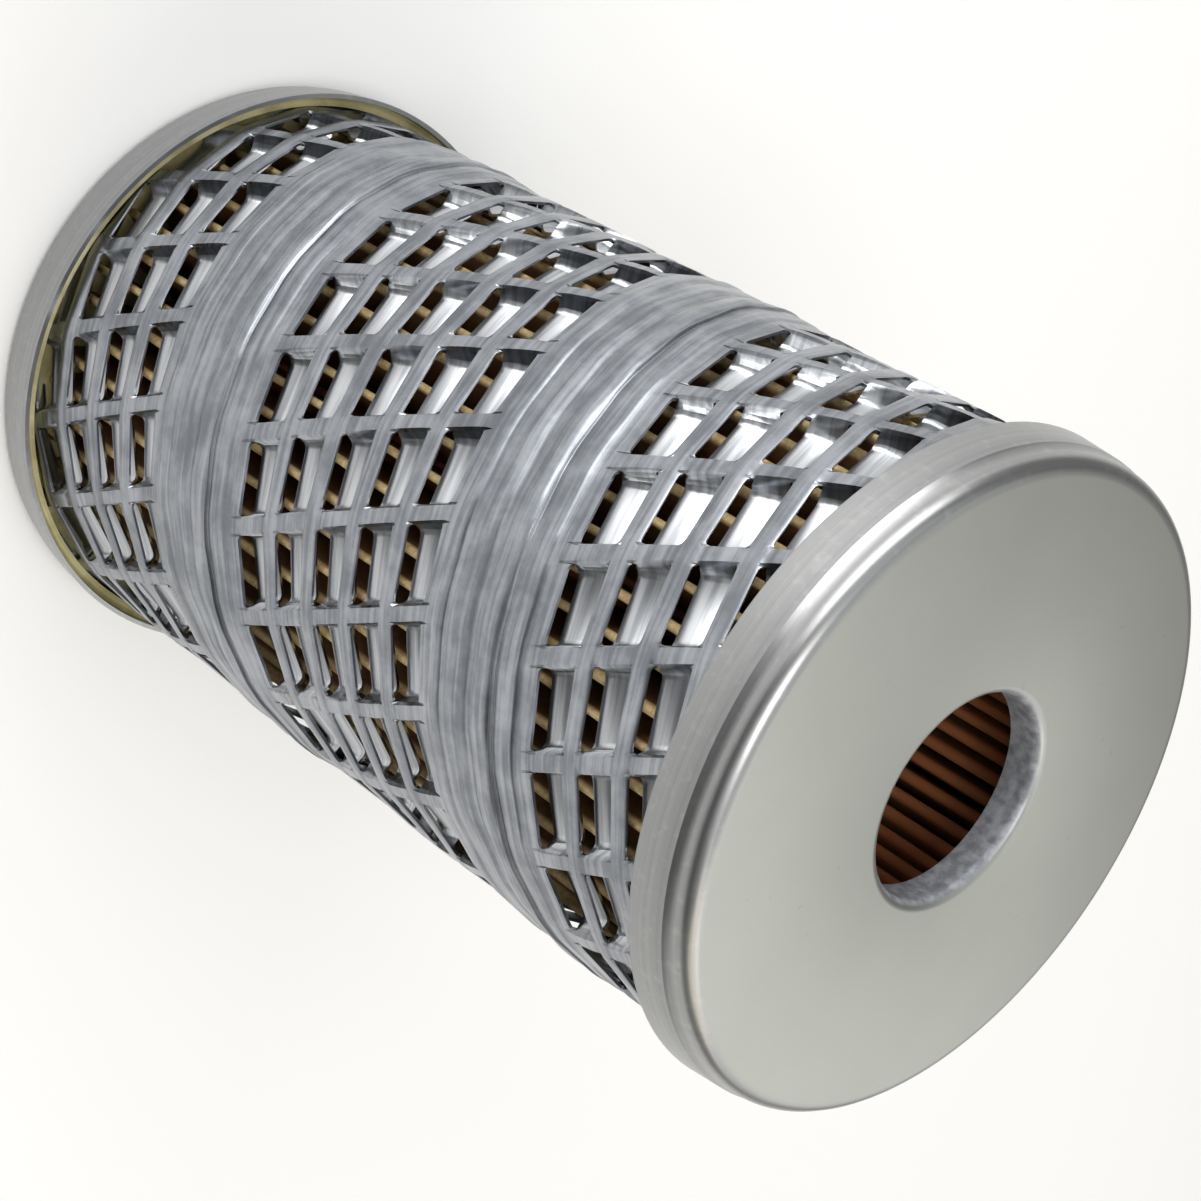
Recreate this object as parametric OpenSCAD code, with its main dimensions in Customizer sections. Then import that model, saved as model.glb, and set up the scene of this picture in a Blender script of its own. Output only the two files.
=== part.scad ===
// Fuel filter cartridge, standing on its lower end cap.
// Origin: centre of the lower cap's outer face. +Z runs up the centre bore. Millimetres.

/* [Overall] */
// Length over the outer faces of the two end caps
length = 137; // [100:1:180]
// Radius of the cap's shoulder, next to the face
shoulder_r = 39.8; // [32:0.1:50]

/* [End caps] */
// Sheet thickness of the pressed caps
cap_sheet = 0.6; // [0.4:0.1:0.8]
// Radius of the bend between the face and the shoulder
corner_r = 2.0; // [1.2:0.1:2.4]
// Depth at which the shoulder steps out to the rim band
shoulder_depth = 2.9; // [2.6:0.1:3.6]
// Axial length of the step
step_length = 0.8; // [0.4:0.1:1.2]
// Radial height of the step
band_step = 0.45; // [0.2:0.05:0.8]
// How much the rim band opens towards its edge
band_flare = 0.45; // [0:0.05:0.8]
// Depth of the skirt, from the face to its open edge
skirt_depth = 8.2; // [7:0.1:12]
// Radius of the centre bore
bore_r = 12.6; // [8:0.1:18]
// Depth of the collar that is drawn inwards around the bore
collar_depth = 4.3; // [3:0.1:7]
// Radius of the bend between the face and the collar
lip_r = 1.2; // [0.8:0.1:2]

/* [Louvred wrap] */
// Sheet thickness of the wound strip
wrap_sheet = 0.4; // [0.3:0.05:0.6]
// Radial gap between the cap's shoulder, outside, and the wrap
wrap_gap = 1.2; // [1:0.1:2]
// Rise of the strip in one turn
strip_pitch = 55; // [45:1:70]
// Angle at which the middle of the strip passes mid-height
strip_phase = 41; // [0:1:360]
// Rows of louvres across the strip
louvre_rows = 5; // [3:1:5]
// Distance between rows, square to the strip
row_pitch = 7.4; // [7:0.1:9]
// Distance between louvres along the strip
louvre_pitch = 11.45; // [11:0.05:14]
// How far each row is shifted along the strip from the row above it
row_stagger = 1.75; // [0:0.05:3]
// Length of a louvre's window along the strip
window_l = 9.7; // [8:0.1:10]
// Height of a louvre's window, square to the strip
window_h = 5.1; // [4:0.1:5.6]
// How far a louvre's fin is pressed in below the strip
fin_depth = 2.6; // [1.5:0.1:3]
// Distance from the lowest row's windows down to the lock seam's sharp edge
seam_offset = 6.3; // [4:0.1:8]
// Height of the folded lock seam over the strip
seam_height = 0.55; // [0.3:0.05:0.7]
// Width of the folded lock seam
seam_width = 3.4; // [2.5:0.1:5]

/* [Pleated paper] */
// Number of pleats
pleats = 52; // [36:1:64]
// Radial distance from the bore to the inner folds
root_gap = 7.4; // [5:0.1:10]
// Thickness of the paper
paper = 0.5; // [0.35:0.05:0.6]
// Width of a fold at the outside
fold_out = 1.5; // [1.3:0.05:1.7]
// Width of a fold at the inside
fold_in = 1.35; // [1.25:0.05:1.5]
// Radial gap between the fins and the folds of the paper
fin_gap = 0.4; // [0.3:0.1:2]

/* [Side seam clip] */
// Angle at which the paper's two ends meet in the clip
clip_angle = 214; // [0:1:360]
// Sheet thickness of the clip over the paper's two ends
clip_sheet = 0.35; // [0.2:0.05:0.5]
// How far the clip reaches over the paper, radially
clip_reach = 3.4; // [2:0.1:5]
// Clearance between the clip and the paper
clip_gap = 0.05; // [0.03:0.01:0.1]

/* [Potting] */
// Height of the potting over the cap's inner face
potting_floor = 3.0; // [1.5:0.1:4]
// How far inside the pleats the potting spreads
potting_spread = 2.5; // [1:0.1:4]
// Depth below the skirt's edge to which the potting climbs around the wrap
potting_drop = 1.0; // [0.5:0.1:2]
// Clearance between the potting and the wrap
wrap_seat = 0.05; // [0.03:0.01:0.1]

/* [Hidden] */
$fn = 96;
bend_steps = 6;
seam_steps = 36;
wrap_sides = 40;

wrap_r = shoulder_r - wrap_gap;
wrap_foot = cap_sheet + potting_floor;
wrap_head = length - wrap_foot;

strip_angle = atan(strip_pitch / (2 * PI * wrap_r));
strip_turn = strip_pitch / sin(strip_angle);
seam_line = -((louvre_rows - 1) * row_pitch / 2 + window_h / 2 + seam_offset);

fold_tip_r = wrap_r - fin_depth - wrap_sheet - fin_gap;
fold_root_r = bore_r + root_gap;
leg_end_r = fold_tip_r - clip_sheet - clip_gap;
clip_half = paper + 2 * clip_gap;

// A quarter bend of a sheet: points on a circle of radius r from angle a to angle b.
function bend(centre, r, a, b) =
    [for (i = [0:bend_steps]) let (t = a + (b - a) * i / bend_steps) centre + r * [cos(t), sin(t)]];

// The step from shoulder to rim band, as half a cosine wave.
function step_out(o) =
    [for (i = [0:bend_steps])
        [shoulder_r - o + band_step * (1 - cos(180 * i / bend_steps)) / 2,
         shoulder_depth + step_length * i / bend_steps]];

// The pressed sheet at depth o below its outer skin, from the collar's end to the skirt's edge.
// Each point is [radius, depth below the cap's face].
function sheet_line(o) = concat(
    [[bore_r + o, collar_depth]],
    bend([bore_r + lip_r, lip_r], lip_r - o, 180, 270),
    bend([shoulder_r - corner_r, corner_r], corner_r - o, 270, 360),
    step_out(o));

// The round edge of the skirt, from its outside to its inside.
function skirt_edge() =
    bend([shoulder_r + band_step + band_flare - cap_sheet / 2, skirt_depth - cap_sheet / 2],
         cap_sheet / 2, 0, 180);

function reverse(list) = [for (i = [len(list) - 1:-1:0]) list[i]];

// One end cap with its face down at Z = 0.
module end_cap() {
    rotate_extrude()
        polygon(concat(sheet_line(0), skirt_edge(), reverse(sheet_line(cap_sheet))));
}

// The inside of the rim band at a given depth.
function band_inner_r(depth) =
    let (start = shoulder_depth + step_length,
         along = (depth - start) / (skirt_depth - cap_sheet / 2 - start))
    shoulder_r + band_step - cap_sheet + band_flare * along;

// Potting in a cap with its face down: a floor under the pleats and a bead around the wrap.
module potting() {
    inner_r = fold_root_r - potting_spread;
    bead_top = skirt_depth - potting_drop;
    rotate_extrude()
        polygon(concat(
            [[inner_r, cap_sheet]],
            bend([shoulder_r - corner_r, corner_r], corner_r - cap_sheet, 270, 360),
            step_out(cap_sheet),
            [[band_inner_r(bead_top), bead_top],
             [wrap_r + wrap_seat, bead_top - 0.4],
             [wrap_r + wrap_seat, wrap_foot],
             [inner_r, wrap_foot]]));
}

// Places its children at one point of the strip: X outwards, Y along the strip, Z across it.
module on_strip(along, across) {
    turned = (along * cos(strip_angle) - across * sin(strip_angle)) / wrap_r * 180 / PI;
    risen = along * sin(strip_angle) + across * cos(strip_angle);
    rotate([0, 0, strip_phase + turned])
        translate([wrap_r, 0, length / 2 + risen])
            rotate([strip_angle, 0, 0])
                children();
}

// Runs through every louvre that lies wholly on the wrap.
module each_louvre() {
    half_rise = (window_h * cos(strip_angle) + louvre_pitch * sin(strip_angle)) / 2 + wrap_sheet;
    last = ceil(length / strip_pitch * strip_turn / louvre_pitch);
    for (i = [-last:last], row = [0:louvre_rows - 1]) {
        rank = row - (louvre_rows - 1) / 2;
        along = i * louvre_pitch - rank * row_stagger;
        across = rank * row_pitch;
        height = length / 2 + along * sin(strip_angle) + across * cos(strip_angle);
        if (height - half_rise > wrap_foot && height + half_rise < wrap_head)
            on_strip(along, across) children();
    }
}

// The hole that a louvre leaves in the strip.
module window() {
    lean = row_stagger / row_pitch * window_h / 2;
    rotate([0, 90, 0])
        linear_extrude(height = 6 * wrap_sheet, center = true)
            polygon([[-window_h / 2, -window_l / 2 - lean], [window_h / 2, -window_l / 2 + lean],
                     [window_h / 2, window_l / 2 + lean], [-window_h / 2, window_l / 2 - lean]]);
}

// Section of the lock seam, as [height over the strip, distance below its sharp edge].
seam_section = [[-wrap_sheet / 2, 0], [seam_height, 0], [seam_height * 1.05, -seam_width * 0.35],
                [seam_height * 0.6, -seam_width * 0.75], [-wrap_sheet / 2, -seam_width]];

// The folded lock seam, wound along the edge of the strip between the two skirts.
module lock_seam() {
    low = skirt_depth + seam_width / cos(strip_angle) + seam_height;
    high = length - skirt_depth - seam_height;
    first_turn = (low - length / 2 - seam_line / cos(strip_angle)) / strip_pitch;
    count = floor((high - low) / strip_pitch * seam_steps);
    sides = len(seam_section);
    points = [for (i = [0:count], p = seam_section)
        let (a = strip_phase + (first_turn + i / seam_steps) * 360,
             z = low + i / seam_steps * strip_pitch + p[1] / cos(strip_angle))
        [(wrap_r + p[0]) * cos(a), (wrap_r + p[0]) * sin(a), z]];
    walls = [for (i = [0:count - 1], k = [0:sides - 1])
        let (n = (k + 1) % sides, a = i * sides, b = (i + 1) * sides)
        each [[a + k, b + n, a + n], [a + k, b + k, b + n]]];
    start = [for (k = [0:sides - 1]) k];
    end = [for (k = [sides - 1:-1:0]) count * sides + k];
    polyhedron(points = points, faces = concat(walls, [start], [end]), convexity = 8);
}

// A point at radius r, offset sideways from the radial line at angle a.
function beside(a, r, offset) = [r * cos(a) - offset * sin(a), r * sin(a) + offset * cos(a)];

// One face of the folded paper. With t = 0 it is the outer face, with t = paper the inner face.
function fold_face(t) =
    let (step = 360 / pleats,
         out_half = fold_out / 2 - t,
         in_half = fold_in / 2 - paper + t,
         end_half = paper + clip_gap / 2 - t)
    concat(
        [beside(0, leg_end_r, end_half), beside(0, leg_end_r - clip_reach, end_half)],
        [for (k = [0:pleats - 1]) each concat(
            [beside((k + 0.5) * step, fold_root_r + paper - t, -in_half),
             beside((k + 0.5) * step, fold_root_r + paper - t, in_half)],
            k == pleats - 1 ? [] :
            [beside((k + 1) * step, fold_tip_r - t, -out_half),
             beside((k + 1) * step, fold_tip_r - t, out_half)])],
        [beside(0, leg_end_r - clip_reach, -end_half), beside(0, leg_end_r, -end_half)]);

module top_end_cap() {
    color([0.70, 0.71, 0.68])
        translate([0, 0, length]) rotate([180, 0, 0]) end_cap();
}

module bottom_end_cap() {
    color([0.70, 0.71, 0.68]) end_cap();
}

module louvred_wrap() {
    color([0.66, 0.69, 0.74]) {
        difference() {
            translate([0, 0, wrap_foot])
                cylinder(r = wrap_r, h = wrap_head - wrap_foot, $fn = wrap_sides);
            translate([0, 0, wrap_foot - 1])
                cylinder(r = wrap_r - wrap_sheet, h = length, $fn = wrap_sides);
            each_louvre() window();
        }
        lock_seam();
    }
}

module pleated_media() {
    color([0.62, 0.42, 0.20])
        translate([0, 0, wrap_foot]) rotate([0, 0, clip_angle])
            linear_extrude(height = wrap_head - wrap_foot)
                polygon(concat(fold_face(0), reverse(fold_face(paper))));
}

module media_seam_clip() {
    color([0.72, 0.72, 0.70])
        translate([0, 0, wrap_foot]) rotate([0, 0, clip_angle])
            linear_extrude(height = wrap_head - wrap_foot)
                difference() {
                    translate([leg_end_r - clip_reach, -clip_half - clip_sheet])
                        square([clip_reach + clip_gap + clip_sheet, 2 * (clip_half + clip_sheet)]);
                    translate([leg_end_r - clip_reach - 1, -clip_half])
                        square([clip_reach + clip_gap + 1, 2 * clip_half]);
                }
}

module top_potting() {
    color([0.55, 0.52, 0.36])
        translate([0, 0, length]) rotate([180, 0, 0]) potting();
}

module bottom_potting() {
    color([0.55, 0.52, 0.36]) potting();
}

top_end_cap();
bottom_end_cap();
louvred_wrap();
pleated_media();
media_seam_clip();
top_potting();
bottom_potting();
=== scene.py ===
# %% [markdown]
# # A fuel filter cartridge
#
# The cartridge is a spiral-wound, louvred metal wrap around pleated paper, closed by two pressed end
# caps. The functional model gives its frame: where each piece is and how big it is. This script gives
# it its looks. Every piece below but the seam clip is modelled with Blender's mesh operators, in the same
# place as the part it stands for; the clip keeps the functional model's shape and gets a new finish.

import math

import bmesh
import bpy
from mathutils import Matrix, Vector, noise


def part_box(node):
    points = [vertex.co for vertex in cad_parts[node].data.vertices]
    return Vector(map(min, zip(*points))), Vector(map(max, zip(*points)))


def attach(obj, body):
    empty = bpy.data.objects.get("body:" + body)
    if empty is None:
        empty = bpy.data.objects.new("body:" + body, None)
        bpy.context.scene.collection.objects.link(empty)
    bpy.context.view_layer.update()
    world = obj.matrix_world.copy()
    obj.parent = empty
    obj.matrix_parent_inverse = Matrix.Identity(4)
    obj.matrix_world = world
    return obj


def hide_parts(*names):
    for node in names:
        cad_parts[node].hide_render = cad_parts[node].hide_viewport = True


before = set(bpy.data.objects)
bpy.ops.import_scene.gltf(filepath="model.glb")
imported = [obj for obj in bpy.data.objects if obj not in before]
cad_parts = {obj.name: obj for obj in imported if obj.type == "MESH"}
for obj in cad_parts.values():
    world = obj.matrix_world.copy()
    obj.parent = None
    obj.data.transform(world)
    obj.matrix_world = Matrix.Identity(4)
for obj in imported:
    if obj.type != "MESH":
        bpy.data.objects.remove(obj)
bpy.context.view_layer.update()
MM = 0.001
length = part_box("top_end_cap")[1].z
print("frame:", sorted(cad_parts), "length", round(length, 4))

# %% [markdown]
# ## Camera
#
# The camera looks down on the cartridge's upper end at a slant, and is turned about its own line of
# sight, so that the cartridge seems to lie on its side. A long lens keeps the two caps close in size.
# The turn is a rotation about the camera's own Z axis, applied last.

# %% Camera
def direction(azimuth, elevation):
    a, e = math.radians(azimuth), math.radians(elevation)
    return Vector((math.cos(a) * math.cos(e), math.sin(a) * math.cos(e), math.sin(e)))


view_azimuth, view_elevation, view_roll = 32.41, 39.60, 122.41
view_target = Vector((-1.43, 2.26, 79.15)) * MM
view_distance = 307.1 * MM

towards_camera = direction(view_azimuth, view_elevation)
camera = bpy.data.objects.new("camera", bpy.data.cameras.new("camera"))
camera.data.lens = 74.96
camera.data.sensor_width = 36
camera.data.clip_start = 0.01
aim = (-towards_camera).to_track_quat("-Z", "Y").to_matrix().to_4x4()
camera.matrix_world = (
    Matrix.Translation(view_target + towards_camera * view_distance)
    @ aim @ Matrix.Rotation(math.radians(view_roll), 4, "Z")
)
bpy.context.scene.collection.objects.link(camera)
bpy.context.scene.camera = camera
print("camera at", [round(v, 3) for v in camera.matrix_world.translation])

# %% [markdown]
# ## Floor and light
#
# The metal shows its surroundings, so they are arranged as in a studio for metal: wide soft sources that
# give long, even reflections, a pale floor that the upright walls mirror, and a warmer fill on the other
# side. Metal only looks like metal when it has something dark to mirror as well, so a grey card stands
# beside the cartridge, out of the picture.

# %% Floor
def new_object(name, bm):
    mesh = bpy.data.meshes.new(name)
    bm.to_mesh(mesh)
    bm.free()
    mesh.shade_smooth()
    made = bpy.data.objects.new(name, mesh)
    bpy.context.scene.collection.objects.link(made)
    return made


bm = bmesh.new()
bmesh.ops.create_grid(bm, x_segments=1, y_segments=1, size=4.0)
floor = new_object("floor", bm)
print("floor", tuple(round(v, 2) for v in floor.dimensions))

# %% A grey card beside the cartridge
card_azimuth, card_distance, card_width, card_height = 72, 0.62, 0.95, 0.34
bm = bmesh.new()
bmesh.ops.create_grid(bm, x_segments=1, y_segments=1, size=0.5)
bmesh.ops.scale(bm, verts=bm.verts, vec=(card_width, card_height, 1))
bmesh.ops.rotate(bm, verts=bm.verts, cent=(0, 0, 0), matrix=Matrix.Rotation(math.pi / 2, 3, "X"))
bmesh.ops.translate(bm, verts=bm.verts, vec=(0, 0, card_height / 2))
card = new_object("grey_card", bm)
card.location = direction(card_azimuth, 0) * card_distance
card.rotation_euler.z = math.radians(card_azimuth + 90)
print("card at", [round(v, 2) for v in card.location])

# %% Lights
def soft_light(name, azimuth, elevation, distance, size, watts, tint):
    light = bpy.data.lights.new(name, "AREA")
    light.shape = "RECTANGLE"
    light.size, light.size_y = size
    light.energy = watts
    light.color = tint
    made = bpy.data.objects.new(name, light)
    place = direction(azimuth, elevation)
    made.matrix_world = (
        Matrix.Translation(Vector((0, 0, length / 2)) + place * distance)
        @ place.to_track_quat("Z", "Y").to_matrix().to_4x4()
    )
    bpy.context.scene.collection.objects.link(made)


soft_light("key", -12, 10, distance=0.75, size=(0.75, 0.38), watts=4.2, tint=(1.0, 0.995, 0.98))
soft_light("overhead", 20, 80, distance=1.3, size=(2.6, 2.6), watts=13, tint=(0.97, 0.985, 1.0))
soft_light("front", 42, 62, distance=0.9, size=(0.35, 0.35), watts=2.4, tint=(1.0, 0.98, 0.94))
soft_light("fill", 140, 42, distance=1.2, size=(0.8, 0.8), watts=3.0, tint=(1.0, 0.88, 0.74))
soft_light("face_panel", 184, 38, distance=1.4, size=(1.3, 1.3), watts=5.4, tint=(1.0, 1.0, 0.97))

world = bpy.data.worlds.new("studio")
world.use_nodes = True
world.node_tree.nodes["Background"].inputs["Color"].default_value = (0.62, 0.62, 0.60, 1)
world.node_tree.nodes["Background"].inputs["Strength"].default_value = 0.5
bpy.context.scene.world = world
bpy.context.scene.view_settings.view_transform = "Standard"

# %% [markdown]
# ## Sizes
#
# The wrap is one long strip of aluminium wound like a screw thread. Each turn hooks onto the next in a
# lock seam. Its louvres sit in rows across the strip. Everything here follows the functional model: the
# length and the radii come from its boxes, and the strip's own values are the design's.

# %% Sizes shared by the pieces
rim_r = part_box("top_end_cap")[1].x
wrap_r = rim_r - 2.1 * MM
wrap_foot, wrap_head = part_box("louvred_wrap")[0].z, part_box("louvred_wrap")[1].z
wrap_sheet = 0.4 * MM

strip_rise = 55 * MM
strip_phase = math.radians(41)
strip_angle = math.atan(strip_rise / (2 * math.pi * wrap_r))
strip_width = strip_rise * math.cos(strip_angle)
louvre_rows, row_pitch, row_stagger = 5, 7.4 * MM, 1.75 * MM
louvre_pitch = 11.45 * MM
window_half_l, window_half_h = 4.85 * MM, 2.55 * MM
cut_half_l, fin_depth = 4.56 * MM, 2.6 * MM
same_place = 0.001 * MM
sharp_angle = math.radians(50)
print("strip angle", round(math.degrees(strip_angle), 2), "width", round(strip_width / MM, 2), "mm")

# %% [markdown]
# ## The strip, flat
#
# A louvre is lanced: two long cuts, and the metal between them pressed in, still joined at its two ends.
# So the strip is made flat first, as it is on the machine. One grid is one column of louvres. The cuts
# are split edges, and the metal between them is moved down along a steep ramp at each end. A flat strip
# is far easier to shape than a wound one, because every place on it is just along, across and down.

# %% Lines of the strip
# Both bands are lists of distance from the windows and height over the strip, in millimetres. The lower
# band ends in the seam's ridge, with a groove beside it. The upper one is tucked under the next turn.
band_below = [
    (6.3, 0.50), (6.12, 0.46), (5.97, 0.2), (5.82, 0.13), (5.6, 0.23), (4.2, 0.26), (3.1, 0.2),
    (2.75, 0.13), (2.55, 0.0), (1.2, 0.0)]
band_above = [
    (1.0, 0.0), (1.75, 0.0), (2.1, 0.12), (2.7, 0.28), (3.3, 0.26), (3.75, 0.08), (3.95, 0.0),
    (4.3, 0.1), (6.2, 0.12), (7.7, 0.1), (8.05, -0.12), (8.7, -0.14), (9.3, 0.12),
    (10.0, 0.36), (10.9, 0.46), (11.8, 0.36), (12.5, 0.1), (13.2, -0.42), (14.2, -0.46)]
edge_roll, edge_width = 0.11 * MM, 0.32 * MM
fin_lines = (-1, -0.6, 0.4, 1)

row_top = (louvre_rows - 1) / 2 * row_pitch + window_half_h
across_lines = [(-row_top - d * MM, h * MM) for d, h in band_below]
for row in range(louvre_rows):
    middle = (row - (louvre_rows - 1) / 2) * row_pitch
    for share in fin_lines:
        across_lines.append((middle + share * window_half_h, -edge_roll if abs(share) == 1 else 0.0))
    if row < louvre_rows - 1:
        for t in (window_half_h + edge_width, row_pitch - window_half_h - edge_width):
            across_lines.append((middle + t, 0.0))
across_lines += [(row_top + d * MM, h * MM) for d, h in band_above]

# From the louvre's middle outwards: the distance, how far down the fin is there, and how much the cut
# is rounded in. The cuts stop a little short of the window's ends, so the sheet tears into round corners.
louvre_end = [
    (3.55 * MM, 1, 0), (4.05 * MM, 0.94, 0.03 * MM), (4.33 * MM, 0.78, 0.12 * MM),
    (4.47 * MM, 0.5, 0.28 * MM), (cut_half_l, 0.16, 0.6 * MM), (window_half_l, 0, 0)]
ramp_depths = {u: depth for u, depth, rounding in louvre_end}
corner_rounds = {u: rounding for u, depth, rounding in louvre_end}
along_lines = sorted([-u for u in ramp_depths] + list(ramp_depths) + [-louvre_pitch / 2, louvre_pitch / 2])
print(len(across_lines), "lines across,", len(along_lines), "lines along one louvre")

# %% One column of louvres
def row_offset(t):
    """Distance of a place from the middle of the nearest row of louvres."""
    row = round(t / row_pitch + (louvre_rows - 1) / 2)
    row = min(max(row, 0), louvre_rows - 1)
    return t - (row - (louvre_rows - 1) / 2) * row_pitch


def on_cut_line(t):
    return abs(abs(row_offset(t)) - window_half_h) < 1e-7


def lanced(edge):
    a, b = (v.co for v in edge.verts)
    return on_cut_line(a.y) and abs(a.y - b.y) < 1e-7 and abs(a.x + b.x) / 2 < cut_half_l


strip = bmesh.new()
bmesh.ops.create_grid(
    strip, x_segments=len(along_lines) - 1, y_segments=len(across_lines) - 1, size=0.5)
grid_x = sorted({round(v.co.x, 5) for v in strip.verts})
grid_y = sorted({round(v.co.y, 5) for v in strip.verts})
for v in strip.verts:
    t, h = across_lines[grid_y.index(round(v.co.y, 5))]
    v.co = (along_lines[grid_x.index(round(v.co.x, 5))], t, h)
bmesh.ops.split_edges(strip, edges=[e for e in strip.edges if lanced(e)])
print("column:", len(strip.verts), "vertices", len(grid_x), len(grid_y))

# %% Press the fins in
# A fin leans, its far edge rolls over, and its near edge has drawn back, most of all near one end. It is
# burnished, and given a painted highlight, where it is pressed in by two thirds or more.
near_pull, far_roll, fin_lean = 0.4 * MM, 0.35 * MM, 0.14
notch_pull, notch_start, notch_end = 1.0 * MM, -4.4 * MM, -3.5 * MM
middle_rise, leaning_from, edge_share = 0.25 * MM, 0.2, 0.9
pressed = strip.verts.layers.float.new("pressed")


def at_line(table, u, tolerance=0.01 * MM):
    """What a table says about the line at distance u from the louvre's middle."""
    return sum(value for line, value in table.items() if abs(abs(u) - line) < tolerance)


def is_fin(face):
    middle = face.calc_center_median()
    return abs(row_offset(middle.y)) < window_half_h and abs(middle.x) < window_half_l


fin_verts = {v for f in strip.faces if is_fin(f) for v in f.verts}
for v in fin_verts:
    u, side = v.co.x, row_offset(v.co.y)
    depth = at_line(ramp_depths, u)
    v[pressed] = min(1, 1.5 * depth)
    if abs(side) > edge_share * window_half_h:
        v.co.y -= math.copysign(at_line(corner_rounds, u), side)
    if depth > leaning_from:
        rolled = far_roll * (side < -edge_share * window_half_h)
        v.co.z = -(fin_depth - middle_rise + fin_lean * side + rolled) * depth
        if side > edge_share * window_half_h:
            v.co.y -= notch_pull if notch_start < u < notch_end else near_pull
    elif depth > 0:
        v.co.z = -fin_depth * depth
for v in strip.verts:
    if v not in fin_verts and on_cut_line(v.co.y):
        rounding = at_line(corner_rounds, v.co.x)
        v.co.y -= math.copysign(rounding, row_offset(v.co.y))
        v.co.z -= rounding * 0.5
print(len(fin_verts), "fin vertices pressed in")

# %% Straighten the bars
# The strip bends at its bridges and stays straight between them, so the wound wrap is slightly faceted.
# The bands beside the louvres are stiffer and keep a quarter of that.
flat_half_l = 4.4 * MM
band_share, band_start, band_fade = 0.25, 0.5 * MM, 3 * MM
bend_square = math.cos(strip_angle) ** 2 / (2 * wrap_r)
for v in strip.verts:
    beyond = max(0, abs(v.co.y) - row_top - band_start) / band_fade
    share = max(band_share, 1 - beyond)
    v.co.z -= share * max(0, flat_half_l ** 2 - v.co.x ** 2) * bend_square
print("bars straightened by", round(flat_half_l ** 2 * bend_square / MM, 2), "mm")

# %% The whole strip
half_columns = math.ceil((length / 2 / math.sin(strip_angle) + 2 * strip_width) / louvre_pitch)
one_column = strip.verts[:] + strip.edges[:] + strip.faces[:]
for i in range(1, 2 * half_columns + 1):
    copy = bmesh.ops.duplicate(strip, geom=one_column)["geom"]
    moved = [g for g in copy if isinstance(g, bmesh.types.BMVert)]
    bmesh.ops.translate(strip, verts=moved, vec=(i * louvre_pitch, 0, 0))
bmesh.ops.translate(strip, verts=strip.verts, vec=(-half_columns * louvre_pitch, 0, 0))
bmesh.ops.remove_doubles(strip, verts=strip.verts, dist=same_place)
shear = Matrix.Identity(4)
shear[0][1] = -row_stagger / row_pitch
bmesh.ops.transform(strip, matrix=shear, verts=strip.verts)
print("flat strip:", len(strip.faces), "faces")

# %% [markdown]
# ## Winding
#
# Winding is one formula. A place on the strip goes round by its distance along, and up by its distance
# across, both turned by the thread's angle. The flat place is kept as an attribute, so that the metal's
# rolling marks can follow the strip. Two cuts trim the tube, and a wall thickness closes it.

# %% Wind, trim and thicken
def reach(piece):
    """The smallest and the largest distance of a piece from the axis, in millimetres."""
    radii = [math.hypot(v.co.x, v.co.y) / MM for v in piece.data.vertices]
    return round(min(radii), 2), round(max(radii), 2)


flat_place = strip.verts.layers.float_vector.new("strip")
cos_a, sin_a = math.cos(strip_angle), math.sin(strip_angle)
for v in strip.verts:
    s, t, h = v.co
    v[flat_place] = v.co
    turn = strip_phase + (s * cos_a - t * sin_a) / wrap_r
    r = wrap_r + h
    v.co = (r * math.cos(turn), r * math.sin(turn), length / 2 + s * sin_a + t * cos_a)
for height, up in ((wrap_foot, -1), (wrap_head, 1)):
    bmesh.ops.bisect_plane(
        strip, geom=strip.verts[:] + strip.edges[:] + strip.faces[:],
        plane_co=(0, 0, height), plane_no=(0, 0, up), clear_outer=True)
bmesh.ops.solidify(strip, geom=strip.faces[:], thickness=wrap_sheet)
wrap = new_object("wound_strip", strip)
wrap.data.set_sharp_from_angle(angle=sharp_angle)
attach(wrap, "root")
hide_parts("louvred_wrap")
print("wound strip:", len(wrap.data.polygons), "faces, radius", *reach(wrap))

# %% [markdown]
# ## End caps
#
# Each cap is drawn from one disc of sheet: a flat face, a collar pressed in around the bore, a rounded
# shoulder, and a step out to a rim band. Its section is a line of a few points. The corners are rounded
# with a vertex bevel, the line is spun round the axis, and the sheet gets its thickness last. The upper
# cap is the lower one turned over.

# %% Rounded lines, and what is spun from them
def rounded_line(bm, points, radii, segments, closed=False):
    """A chain of edges through points, with each corner rounded by its own size."""
    verts = [bm.verts.new(point) for point in points]
    ends = verts[1:] + verts[:1] * closed
    for a, b in zip(verts, ends):
        bm.edges.new((a, b))
    for vert, r in zip(verts, radii):
        if r:
            bmesh.ops.bevel(
                bm, geom=[vert], offset=r, offset_type="OFFSET", affect="VERTICES",
                segments=segments, profile=0.5, material=-1, clamp_overlap=True)


def spun(section, radii, steps, segments, closed=False):
    """A ring or shell: a rounded line of radius and height, spun round the Z axis."""
    bm = bmesh.new()
    rounded_line(bm, [(r, 0, z) for r, z in section], radii, segments, closed)
    bmesh.ops.spin(
        bm, geom=bm.verts[:] + bm.edges[:], cent=(0, 0, 0), axis=(0, 0, 1),
        angle=2 * math.pi, steps=steps, use_merge=True, use_normal_flip=False)
    bmesh.ops.remove_doubles(bm, verts=bm.verts, dist=same_place)
    bmesh.ops.recalc_face_normals(bm, faces=bm.faces)
    return bm


def turn_over(bm):
    """Makes an upper piece of a lower one."""
    bmesh.ops.rotate(bm, verts=bm.verts, cent=(0, 0, 0), matrix=Matrix.Rotation(math.pi, 3, "X"))
    bmesh.ops.translate(bm, verts=bm.verts, vec=(0, 0, length))


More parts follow.
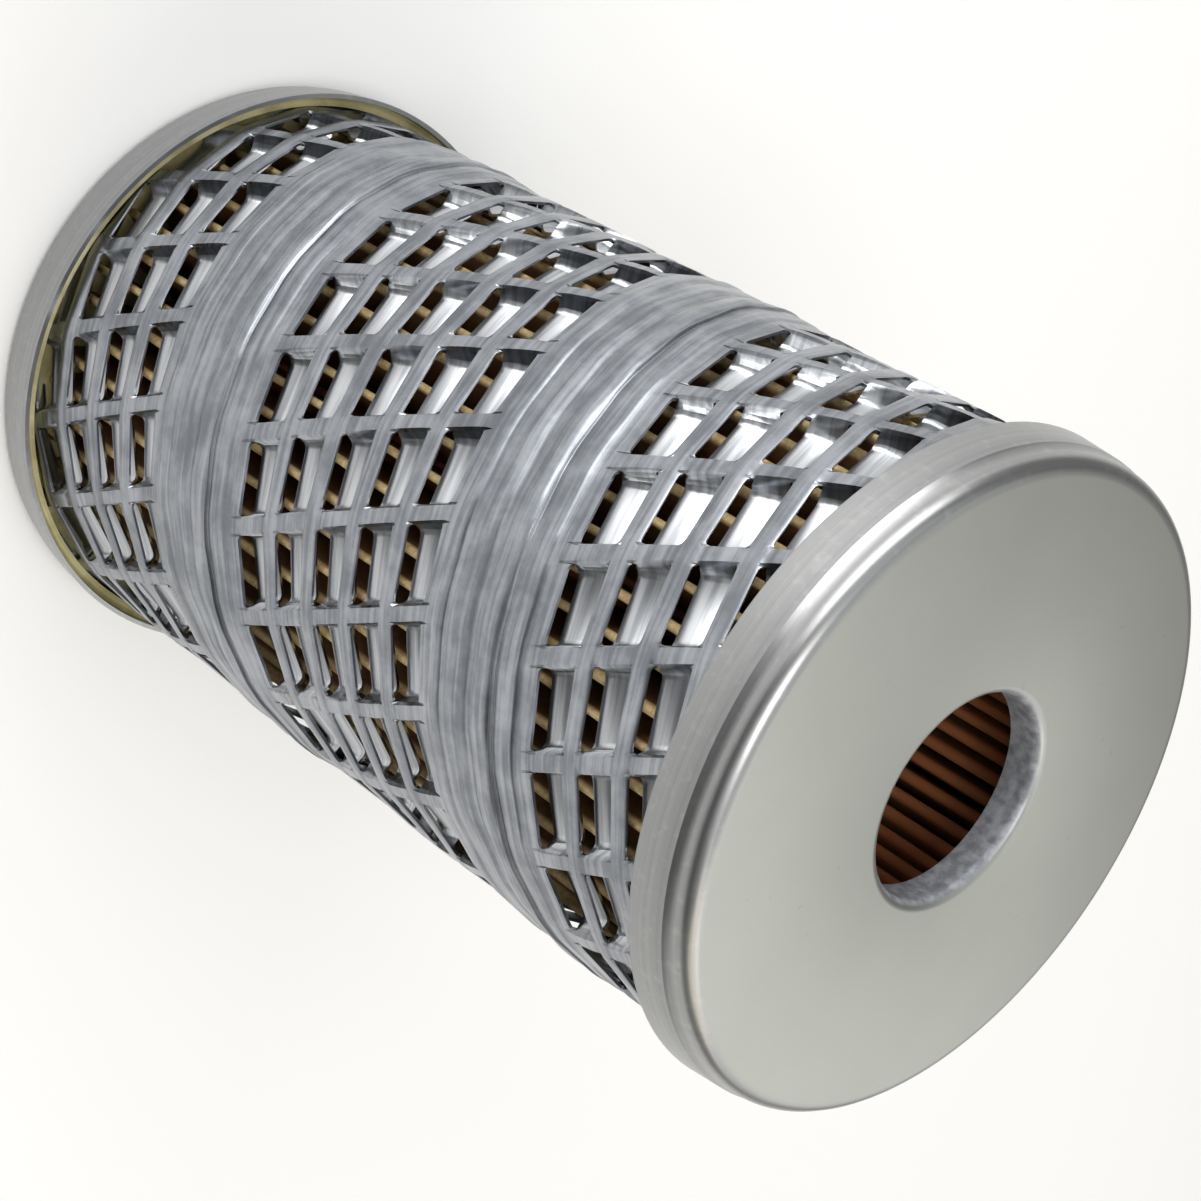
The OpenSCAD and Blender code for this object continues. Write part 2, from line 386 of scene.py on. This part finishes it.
# %% Caps
cap_sheet, skirt_depth = 0.6 * MM, 8.2 * MM
bore_r, collar_depth = 12.6 * MM, 4.3 * MM
shoulder_r, shoulder_depth, step_length, band_r = rim_r - 0.9 * MM, 2.9 * MM, 0.8 * MM, rim_r - 0.45 * MM
cap_line = [
    (bore_r, collar_depth), (bore_r, 0), (shoulder_r, 0), (shoulder_r, shoulder_depth),
    (band_r, shoulder_depth + step_length), (rim_r, skirt_depth)]
cap_rounds = [0, 1.2 * MM, 2.0 * MM, 0.9 * MM, 0.9 * MM, 0]


def end_cap(name, node, upper):
    bm = spun(cap_line, cap_rounds, steps=180, segments=6)
    # The sheet's thickness is added behind its normals, so they have to point out of the face.
    normals_up = sum(f.normal.z for f in bm.faces if f.calc_center_median().z < 0.1 * MM)
    if normals_up > 0:
        bmesh.ops.reverse_faces(bm, faces=bm.faces)
    bmesh.ops.solidify(bm, geom=bm.faces[:], thickness=cap_sheet)
    if upper:
        turn_over(bm)
    made = new_object(name, bm)
    made.data.set_sharp_from_angle(angle=sharp_angle)
    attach(made, "root")
    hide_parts(node)
    print(name, len(made.data.polygons), "faces", [round(v / MM, 2) for v in made.dimensions])
    return made


top_cap = end_cap("pressed_cap_top", "top_end_cap", upper=True)
bottom_cap = end_cap("pressed_cap_bottom", "bottom_end_cap", upper=False)

# %% [markdown]
# ## Pleated paper
#
# The paper is one long sheet folded to and fro and closed into a ring. One pleat is drawn as a line from
# an inner fold, out along a leg, round the outer fold and back. The line is repeated round the axis,
# drawn up into a wall, and moved a little here and there, because no two folds of paper are quite alike.
# At one place the sheet's two ends meet, side by side, under a folded metal clip.

# %% One pleat
pleats, paper = 52, 0.5 * MM
fold_tip_r = wrap_r - 3.4 * MM
fold_root_r = bore_r + 7.4 * MM
fold_out_half, fold_in_half = 0.5 * MM, 0.425 * MM
out_round, in_round = 0.42 * MM, 0.4 * MM
pleat_angle = 2 * math.pi / pleats
clip_low, clip_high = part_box("media_seam_clip")
seam_turn = math.atan2((clip_low.y + clip_high.y) / 2, (clip_low.x + clip_high.x) / 2)
clip_reach, leg_end_r = 3.4 * MM, fold_tip_r - 0.4 * MM
ends_apart, tips_apart = 0.3 * MM, 0.28 * MM


def beside(angle, r, offset):
    """A point at the paper's foot, at radius r, moved sideways from the radial line at an angle."""
    x = r * math.cos(angle) - offset * math.sin(angle)
    y = r * math.sin(angle) + offset * math.cos(angle)
    return (x, y, wrap_foot)


def pleat_line(seam):
    """One pleat, from the middle of one inner fold to the middle of the next, open at the seam."""
    inner_r, outer_r = fold_root_r + paper / 2, fold_tip_r - paper / 2
    half = pleat_angle / 2
    bm = bmesh.new()
    if seam:
        for side in (-1, 1):
            leg = [beside(side * half, inner_r, 0), beside(side * half, inner_r, -side * fold_in_half),
                   beside(0, leg_end_r - clip_reach, side * ends_apart),
                   beside(0, leg_end_r, side * tips_apart)]
            rounded_line(bm, leg, [0, in_round, 0, 0], segments=3)
    else:
        fold = [beside(-half, inner_r, 0), beside(-half, inner_r, fold_in_half),
                beside(0, outer_r, -fold_out_half), beside(0, outer_r, fold_out_half),
                beside(half, inner_r, -fold_in_half), beside(half, inner_r, 0)]
        rounded_line(bm, fold, [0, in_round, out_round, out_round, in_round, 0], segments=3)
    return bm


print(pleats, "pleats from radius", round(fold_root_r / MM, 2), "to", round(fold_tip_r / MM, 2))

# %% The ring of pleats
media = bmesh.new()
for k in range(pleats):
    line = pleat_line(seam=k == 0)
    bmesh.ops.rotate(
        line, verts=line.verts, cent=(0, 0, 0), matrix=Matrix.Rotation(seam_turn + k * pleat_angle, 3, "Z"))
    mesh = bpy.data.meshes.new("pleat")
    line.to_mesh(mesh)
    line.free()
    media.from_mesh(mesh)
    bpy.data.meshes.remove(mesh)
bmesh.ops.remove_doubles(media, verts=media.verts, dist=0.01 * MM)
print("ring of", len(media.edges), "edges")

# %% Draw the ring up and make it uneven
lines_up, media_height = 10, wrap_head - wrap_foot
edge_row = media.edges[:]
for i in range(lines_up):
    raised = bmesh.ops.extrude_edge_only(media, edges=edge_row)["geom"]
    edge_row = [g for g in raised if isinstance(g, bmesh.types.BMEdge)]
    bmesh.ops.translate(
        media, verts=[g for g in raised if isinstance(g, bmesh.types.BMVert)],
        vec=(0, 0, media_height / lines_up))

shrink, sway, unevenness = 0.25 * MM, 0.35, 0.4
for v in media.verts:
    spot = v.co * 90
    out = v.co.xy.normalized().to_3d()
    v.co -= out * (shrink * (0.5 + 0.5 * noise.noise(spot * 1.7)))
    uneven = noise.noise(Vector((v.co.x, v.co.y, v.co.z * 0.04)) * 290)
    v.co += out.cross(Vector((0, 0, 1))) * MM * (sway * noise.noise(spot * 0.8) + unevenness * uneven)
bmesh.ops.recalc_face_normals(media, faces=media.faces)
bmesh.ops.solidify(media, geom=media.faces[:], thickness=paper / 2)
paper_ring = new_object("pleated_paper", media)
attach(paper_ring, "root")
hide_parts("pleated_media")
print("paper:", len(paper_ring.data.polygons), "faces, radius", *reach(paper_ring))

# %% [markdown]
# ## Potting
#
# The wrap and the paper stand in a puddle of resin that was poured into each cap. It has crept up a
# little around the wrap and up the rim band, so its edge is a soft hollow and not quite even.

# %% Potting rings
potting_top, bead_top, bead_low = 3.6 * MM, 7.2 * MM, 6.7 * MM
potting_inner_r = fold_root_r - 2.5 * MM
band_inner_r = rim_r - 0.72 * MM
potting_section = [
    (potting_inner_r, cap_sheet), (potting_inner_r, potting_top), (wrap_r + 0.05 * MM, potting_top),
    (wrap_r + 0.05 * MM, bead_low + 0.3 * MM), (wrap_r + 0.75 * MM, bead_low - 0.25 * MM),
    (band_inner_r, bead_top), (band_inner_r - 0.35 * MM, shoulder_depth + step_length),
    (shoulder_r - cap_sheet, shoulder_depth), (shoulder_r - cap_sheet, cap_sheet)]
potting_rounds = [0, 0.6 * MM, 0, 0, 0.5 * MM, 0, 0, 0, 1.4 * MM]


def potting(name, node, upper):
    bm = spun(potting_section, potting_rounds, steps=144, segments=4, closed=True)
    for v in bm.verts:
        if v.co.z > bead_low - 0.5 * MM and math.hypot(v.co.x, v.co.y) < band_inner_r - 0.1 * MM:
            v.co.z += 0.25 * MM * noise.noise(v.co * 70)
    if upper:
        turn_over(bm)
    made = new_object(name, bm)
    made.data.set_sharp_from_angle(angle=sharp_angle)
    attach(made, "root")
    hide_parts(node)
    print(name, len(made.data.polygons), "faces")
    return made


top_bead = potting("potting_bead_top", "top_potting", upper=True)
bottom_bead = potting("potting_bead_bottom", "bottom_potting", upper=False)

# %% [markdown]
# ## Materials
#
# Each finish is a Principled surface with patterns that read the piece's own coordinates. The arithmetic
# between nodes is written as plain expressions on one small class, so that a formula reads as a formula.

# %% A value in a shader
class Value:
    """An output socket of a material, with arithmetic that adds Math nodes."""

    def __init__(self, finish, socket):
        self.finish, self.socket = finish, socket

    def maths(self, operation, a, b=0.0):
        return self.finish.node("Math", {"operation": operation}, {0: a, 1: b})

    def __add__(self, other):
        return self.maths("ADD", self, other)

    def __sub__(self, other):
        return self.maths("SUBTRACT", self, other)

    def __rsub__(self, other):
        return self.maths("SUBTRACT", other, self)

    def __mul__(self, other):
        return self.maths("MULTIPLY", self, other)

    __radd__, __rmul__ = __add__, __mul__

    def sharpened(self, low, high):
        """0 below low, 1 above high, and a smooth rise between."""
        settings = {"interpolation_type": "SMOOTHSTEP"}
        return self.finish.node("MapRange", settings, {"Value": self, "From Min": low, "From Max": high})

    def capped(self):
        """The value, kept between 0 and 1."""
        return self.maths("MINIMUM", self.maths("MAXIMUM", self, 0.0), 1.0)


# %% A finish
class Finish:
    """A material with a Principled surface, built one node at a time."""

    def __init__(self, name, **constants):
        self.material = bpy.data.materials.new(name)
        self.material.use_nodes = True
        self.tree = self.material.node_tree
        self.surface = self.tree.nodes["Principled BSDF"]
        self.plug(self.surface, {key.replace("_", " "): value for key, value in constants.items()})

    def plug(self, node, sockets):
        for key, value in sockets.items():
            if isinstance(value, Value):
                self.tree.links.new(value.socket, node.inputs[key])
            else:
                node.inputs[key].default_value = value

    def node(self, kind, settings=(), sockets=(), output=0):
        made = self.tree.nodes.new("ShaderNode" + kind)
        for key, value in dict(settings).items():
            setattr(made, key, value)
        self.plug(made, dict(sockets))
        return Value(self, made.outputs[output])

    def place(self):
        return self.node("TexCoord", output="Object")

    def part_of(self, vector, axis):
        return self.node("SeparateXYZ", {}, {0: vector}, axis)

    def attribute(self, name, output):
        return self.node("Attribute", {"attribute_name": name}, output=output)

    def scaled(self, vector, scale):
        return self.node("VectorMath", {"operation": "MULTIPLY"}, {0: vector, 1: scale})

    def noise(self, vector, scale, detail, roughness=0.55):
        return self.node("TexNoise", {}, {
            "Vector": vector, "Scale": scale, "Detail": detail, "Roughness": roughness}, "Fac")

    def mix(self, factor, a, b):
        return self.node("Mix", {"data_type": "RGBA"}, {0: factor, 6: a, 7: b}, 2)

    def from_axis(self, vector):
        """Distance of a place from the Z axis."""
        x, y = self.part_of(vector, 0), self.part_of(vector, 1)
        return x.maths("SQRT", x * x + y * y)

    def bump(self, height, distance, strength, normal=None):
        sockets = {"Height": height, "Distance": distance, "Strength": strength}
        if normal is not None:
            sockets["Normal"] = normal
        return self.node("Bump", {}, sockets)

    def show(self, colour, roughness, normal):
        self.plug(self.surface, {"Base Color": colour, "Roughness": roughness, "Normal": normal})
        return self.material


# %% [markdown]
# ### Rolled aluminium
#
# The strip was drawn through rollers, so its marks run along it: long faint streaks, and a slow waviness
# that bends reflections. The pressed-in fins were burnished by the punch, and their lighter colour is
# partly that burnish and partly painted highlight.

# %% Strip metal
def strip_metal():
    f = Finish("rolled_aluminium", Metallic=1.0)
    flat, pressed_in = f.attribute("strip", "Vector"), f.attribute("pressed", "Fac")
    place = f.place()
    streaks = f.noise(f.scaled(flat, (0.04, 1.0, 0.0)), 1300, 5)
    fine = f.noise(f.scaled(flat, (0.02, 1.0, 0.0)), 5200, 3)
    cloud = f.noise(place, 150, 5, 0.62)
    wave = f.noise(f.scaled(flat, (0.45, 1.0, 1.0)), 190, 2)
    blotch = f.noise(place, 34, 3)
    shade = (cloud * 0.5 + streaks * 0.5).sharpened(0.38, 0.64)
    metal = f.mix(shade, (0.18, 0.193, 0.215, 1), (0.375, 0.392, 0.425, 1))
    # The fins' lighter colour is burnish from the punch, and partly painted highlight standing in for their
    # white reflections.
    fin_burnish_and_highlight = f.mix(streaks.sharpened(0.35, 0.6), (0.34, 0.355, 0.38, 1), (0.54, 0.555, 0.58, 1))
    colour = f.mix(pressed_in, metal, fin_burnish_and_highlight)
    roughness = (0.17 + streaks * 0.12 + blotch * 0.12 + pressed_in * 0.04).capped()
    # A fin's surface is tipped across the strip, towards the next row.
    leaning = f.bump(f.part_of(flat, 1) * pressed_in * -0.24, 1.0, 1.0)
    rolled = f.bump(fine + cloud * 0.5, 0.008 * MM, 0.5, leaning)
    normal = f.bump(wave * (1 - pressed_in * 0.7), 0.22 * MM, 0.5, rolled)
    return f.show(colour, roughness, normal)


wrap.data.materials.append(strip_metal())
print("strip metal:", len(wrap.data.materials[0].node_tree.nodes), "nodes")

# %% [markdown]
# ### Satin cap metal
#
# The caps have a soft satin face with a fine grain and a few specks. Around the shoulder, and round the
# bore's edge, the drawing die has left rings and a little more polish, and the darker colour there is
# painted shade on the cap's side. The collar is duller and blotched, and its dark colour is painted shade
# inside the bore.

# %% Cap metal
def cap_metal():
    f = Finish("satin_aluminium")
    place = f.place()
    r = f.from_axis(place)
    grain = f.noise(place, 2600, 3)
    cloud = f.noise(place, 60, 4)
    specks = f.noise(place, 900, 2).sharpened(0.72, 0.78)
    rings = f.node("CombineXYZ", {}, {0: r, 1: f.part_of(place, 2), 2: 0.0})
    drawn = f.noise(rings, 1300, 4)
    mottle = f.noise(place, 700, 5)
    drawn_and_shaded_band = r.sharpened(37.6 * MM, 38.9 * MM) + (1 - r.sharpened(13.0 * MM, 14.0 * MM))
    collar = 1 - r.sharpened(12.7 * MM, 13.3 * MM)
    satin = f.mix(cloud, (0.41, 0.417, 0.388, 1), (0.46, 0.467, 0.434, 1))
    satin = f.mix(specks * 0.35, satin, (0.30, 0.30, 0.28, 1))
    # Painted shade: the drawn rings are darker than the satin face, to shade the cap's side and the bore's
    # edge.
    rings_and_painted_side_shade = f.mix(drawn.sharpened(0.2, 0.8), (0.27, 0.275, 0.28, 1), (0.36, 0.365, 0.365, 1))
    rings_and_painted_side_shade = f.mix(mottle.sharpened(0.5, 0.8) * 0.4, rings_and_painted_side_shade, (0.46, 0.465, 0.46, 1))
    # Painted shade: the collar's dark colour stands for the shade inside the bore, and its blotches are
    # random.
    collar_blotches_and_shade = f.mix(mottle.sharpened(0.3, 0.7), (0.20, 0.21, 0.235, 1), (0.40, 0.42, 0.455, 1))
    colour = f.mix(collar, f.mix(drawn_and_shaded_band.capped(), satin, rings_and_painted_side_shade), collar_blotches_and_shade)
    roughness = (0.40 + grain * 0.08 - drawn_and_shaded_band * 0.12 + collar * 0.25).capped()
    normal = f.bump(grain * 0.6 + drawn * drawn_and_shaded_band * 0.3, 0.008 * MM, 0.5)
    f.plug(f.surface, {"Metallic": 1 - collar * 0.65})
    return f.show(colour, roughness, normal)


cap_finish = cap_metal()
for piece in (top_cap, bottom_cap):
    piece.data.materials.append(cap_finish)
print("cap metal:", len(cap_finish.node_tree.nodes), "nodes")

# %% [markdown]
# ### Paper, resin and clip
#
# The paper is brown from its resin. Its pale gold at the outer folds is painted highlight where light falls
# on the fold tips, and the darker brown down the legs is painted shade between the pleats. The potting is
# an olive, half-clear resin. The clip is dull tinned steel.

# %% Paper
def filter_paper():
    f = Finish("resin_paper", Specular_IOR_Level=0.3)
    place = f.place()
    r = f.from_axis(place)
    fibre = f.noise(place, 1400, 5, 0.7)
    long_fibre = f.noise(f.scaled(place, (1.0, 1.0, 0.12)), 2200, 3)
    blotch = f.noise(place, 130, 3)
    # Painted light: gold towards the outer fold tips is painted highlight, and the dark brown of the legs
    # is painted shade.
    lit_tip_mask = r.sharpened(fold_tip_r - 1.5 * MM, fold_tip_r - 0.7 * MM)
    root = 1 - r.sharpened(fold_root_r + 0.3 * MM, fold_root_r + 1.6 * MM)
    leg = f.mix(fibre, (0.13, 0.062, 0.022, 1), (0.30, 0.155, 0.062, 1))
    tip_highlight_gold = f.mix(fibre.sharpened(0.3, 0.7), (0.66, 0.46, 0.20, 1), (0.92, 0.72, 0.40, 1))
    inner = f.mix(blotch, (0.36, 0.12, 0.045, 1), (0.55, 0.23, 0.09, 1))
    colour = f.mix(lit_tip_mask, f.mix(root, leg, inner), tip_highlight_gold)
    roughness = 0.62 + fibre * 0.25
    normal = f.bump(fibre * 0.6 + long_fibre * 0.5, 0.06 * MM, 0.6)
    return f.show(colour, roughness, normal)


paper_ring.data.materials.append(filter_paper())
print("paper:", len(paper_ring.data.materials[0].node_tree.nodes), "nodes")

# %% Potting resin
def resin():
    f = Finish("potting_resin", Specular_IOR_Level=0.5, Coat_Roughness=0.18)
    place = f.place()
    lumps, fine = f.noise(place, 160, 3), f.noise(place, 900, 4)
    colour = f.mix(lumps.sharpened(0.3, 0.7), (0.27, 0.235, 0.10, 1), (0.50, 0.45, 0.24, 1))
    colour = f.mix(fine.sharpened(0.6, 0.75) * 0.4, colour, (0.62, 0.57, 0.36, 1))
    f.plug(f.surface, {"Coat Weight": lumps * 0.5})
    return f.show(colour, 0.3 + fine * 0.25, f.bump(lumps + fine * 0.2, 0.25 * MM, 0.6))


resin_finish = resin()
for piece in (top_bead, bottom_bead):
    piece.data.materials.append(resin_finish)
print("resin:", len(resin_finish.node_tree.nodes), "nodes")

# %% Tinned clip
def tinned_steel():
    f = Finish("tinned_steel", Metallic=1.0)
    place = f.place()
    spangle = f.node("TexVoronoi", {}, {"Vector": place, "Scale": 260.0}, "Color")
    cloud, fine = f.noise(place, 500, 4), f.noise(place, 2400, 3)
    shade = f.mix(cloud, (0.50, 0.50, 0.49, 1), (0.68, 0.68, 0.66, 1))
    shade = f.node("Mix", {"data_type": "RGBA", "blend_type": "OVERLAY"}, {0: 0.2, 6: shade, 7: spangle}, 2)
    return f.show(shade, 0.3 + cloud * 0.2, f.bump(fine, 0.01 * MM, 0.5))


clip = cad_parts["media_seam_clip"]
clip.data.materials.clear()
clip.data.materials.append(tinned_steel())
print("clip:", len(clip.data.materials[0].node_tree.nodes), "nodes")

# %% Floor and card
matt_floor = Finish(
    "matt_floor", Base_Color=(0.88, 0.88, 0.88, 1), Roughness=0.85, Specular_IOR_Level=0.2)
matt_card = Finish(
    "matt_card", Base_Color=(0.11, 0.11, 0.115, 1), Roughness=0.9, Specular_IOR_Level=0.1)
floor.data.materials.append(matt_floor.material)
card.data.materials.append(matt_card.material)
print("materials:", sorted(m.name for m in bpy.data.materials))
